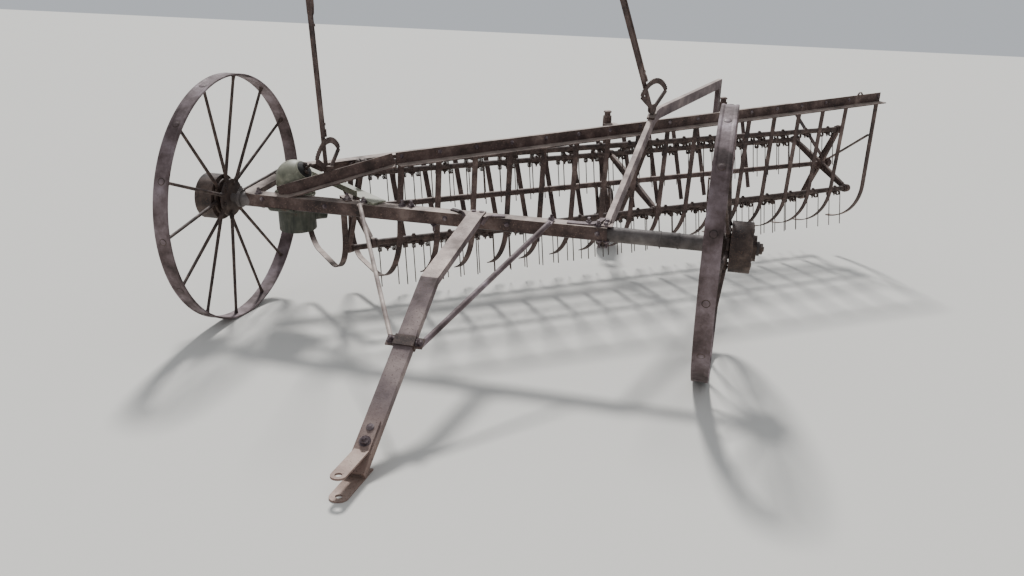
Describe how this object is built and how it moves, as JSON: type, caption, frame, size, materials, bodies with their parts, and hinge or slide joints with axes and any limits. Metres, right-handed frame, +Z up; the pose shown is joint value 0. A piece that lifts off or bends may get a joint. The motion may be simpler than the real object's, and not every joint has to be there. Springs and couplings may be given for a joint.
{
  "type": "side-delivery hay rake",
  "caption": "Towed side-delivery hay rake: spoked steel wheels, a diagonal reel of toothed bars behind curved strippers, rear castors and a drawbar.",
  "frame": {"origin": "middle of the hitch pin hole, halfway between the drawbar's two hitch plates", "axes": "+Z up, +Y to the rear of the machine, +X to the machine's left side as seen by its driver"},
  "size_m": [3.6362, 4.832, 1.9497],
  "materials": {
    "weathered_steel": "rough",
    "bleached_steel": "rough",
    "wheel_iron": "rough",
    "grey_pipe": "satin",
    "faded_green_paint": "rough"
  },
  "bodies": {
    "frame": {"front_bar": "weathered_steel", "rear_rail": "weathered_steel", "side_brace": "faded_green_paint", "axle": "grey_pipe", "gear_case": "faded_green_paint", "top_beam": "weathered_steel", "arch": "weathered_steel", "near_hoops": "weathered_steel", "near_strippers": "weathered_steel", "far_strippers": "weathered_steel", "rear_strippers": "weathered_steel", "far_hanger": "weathered_steel", "castor_sleeves": "weathered_steel", "drawbar": "bleached_steel", "hitch_plate": "weathered_steel", "brace_clamp": "weathered_steel", "left_brace_rod": "bleached_steel", "right_brace_rod": "bleached_steel", "lever_sectors": "weathered_steel"},
    "left_wheel": {"left_wheel_rim": "wheel_iron", "left_wheel_centre": "wheel_iron"},
    "right_wheel": {"right_wheel_rim": "wheel_iron", "right_wheel_centre": "wheel_iron"},
    "reel": {"reel_shaft": "weathered_steel", "reel_spiders": "weathered_steel"},
    "tooth_bar_1": {"tooth_bar_1": "weathered_steel"},
    "tooth_bar_2": {"tooth_bar_2": "weathered_steel"},
    "tooth_bar_3": {"tooth_bar_3": "weathered_steel"},
    "tooth_bar_4": {"tooth_bar_4": "weathered_steel"},
    "castor_1": {"castor_fork_1": "weathered_steel"},
    "castor_2": {"castor_fork_2": "weathered_steel"},
    "castor_1_wheel": {"castor_wheel_1": "wheel_iron"},
    "castor_2_wheel": {"castor_wheel_2": "wheel_iron"},
    "rear_lever": {"rear_lever": "weathered_steel"},
    "front_lever": {"front_lever": "weathered_steel"}
  },
  "joints": [
    {"name": "left_wheel_spin", "type": "hinge", "parent": "frame", "child": "left_wheel", "pos_m": [1.1395, 1.6, 0.59], "axis": [1, 0, 0], "continuous": true},
    {"name": "right_wheel_spin", "type": "hinge", "parent": "frame", "child": "right_wheel", "pos_m": [-1.3255, 1.6, 0.59], "axis": [1, 0, 0], "continuous": true},
    {"name": "reel_spin", "type": "hinge", "parent": "frame", "child": "reel", "pos_m": [0.8214, 3.49016, 0.569], "axis": [0.7273, 0.6859, 0.0244], "continuous": true},
    {"name": "tooth_bar_1_turn", "type": "hinge", "parent": "reel", "child": "tooth_bar_1", "pos_m": [1.00474, 3.30054, 0.43466], "axis": [0.7273, 0.6859, 0.0244], "continuous": true},
    {"name": "tooth_bar_2_turn", "type": "hinge", "parent": "reel", "child": "tooth_bar_2", "pos_m": [0.90891, 3.38797, 0.83266], "axis": [0.7273, 0.6859, 0.0244], "continuous": true},
    {"name": "tooth_bar_3_turn", "type": "hinge", "parent": "reel", "child": "tooth_bar_3", "pos_m": [0.63807, 3.67978, 0.70334], "axis": [0.7273, 0.6859, 0.0244], "continuous": true},
    {"name": "tooth_bar_4_turn", "type": "hinge", "parent": "reel", "child": "tooth_bar_4", "pos_m": [0.73389, 3.59235, 0.30534], "axis": [0.7273, 0.6859, 0.0244], "continuous": true},
    {"name": "castor_1_swivel", "type": "hinge", "parent": "frame", "child": "castor_1", "pos_m": [0.28844, 3.69386, 0.83608], "axis": [0, 0, 1], "range_deg": [-60, 140]},
    {"name": "castor_1_wheel_spin", "type": "hinge", "parent": "castor_1", "child": "castor_1_wheel", "pos_m": [0.28844, 3.88386, 0.165], "axis": [1, 0, 0], "continuous": true},
    {"name": "castor_2_swivel", "type": "hinge", "parent": "frame", "child": "castor_2", "pos_m": [1.03412, 4.39708, 0.91496], "axis": [0, 0, 1], "range_deg": [-60, 140]},
    {"name": "castor_2_wheel_spin", "type": "hinge", "parent": "castor_2", "child": "castor_2_wheel", "pos_m": [1.03412, 4.58708, 0.165], "axis": [1, 0, 0], "continuous": true},
    {"name": "rear_lever_lift", "type": "hinge", "parent": "frame", "child": "rear_lever", "pos_m": [0.68828, 2.71767, 1.07244], "axis": [0.9063, -0.42, -0.0471], "range_deg": [-78, 18]},
    {"name": "front_lever_lift", "type": "hinge", "parent": "frame", "child": "front_lever", "pos_m": [-0.835, 1.69436, 0.75354], "axis": [1, 0, 0], "range_deg": [-52, 44]}
  ],
  "couplings": [
    {"joint": "tooth_bar_1_turn", "follows": "reel_spin", "ratio": -1},
    {"joint": "tooth_bar_2_turn", "follows": "reel_spin", "ratio": -1},
    {"joint": "tooth_bar_3_turn", "follows": "reel_spin", "ratio": -1},
    {"joint": "tooth_bar_4_turn", "follows": "reel_spin", "ratio": -1}
  ]
}
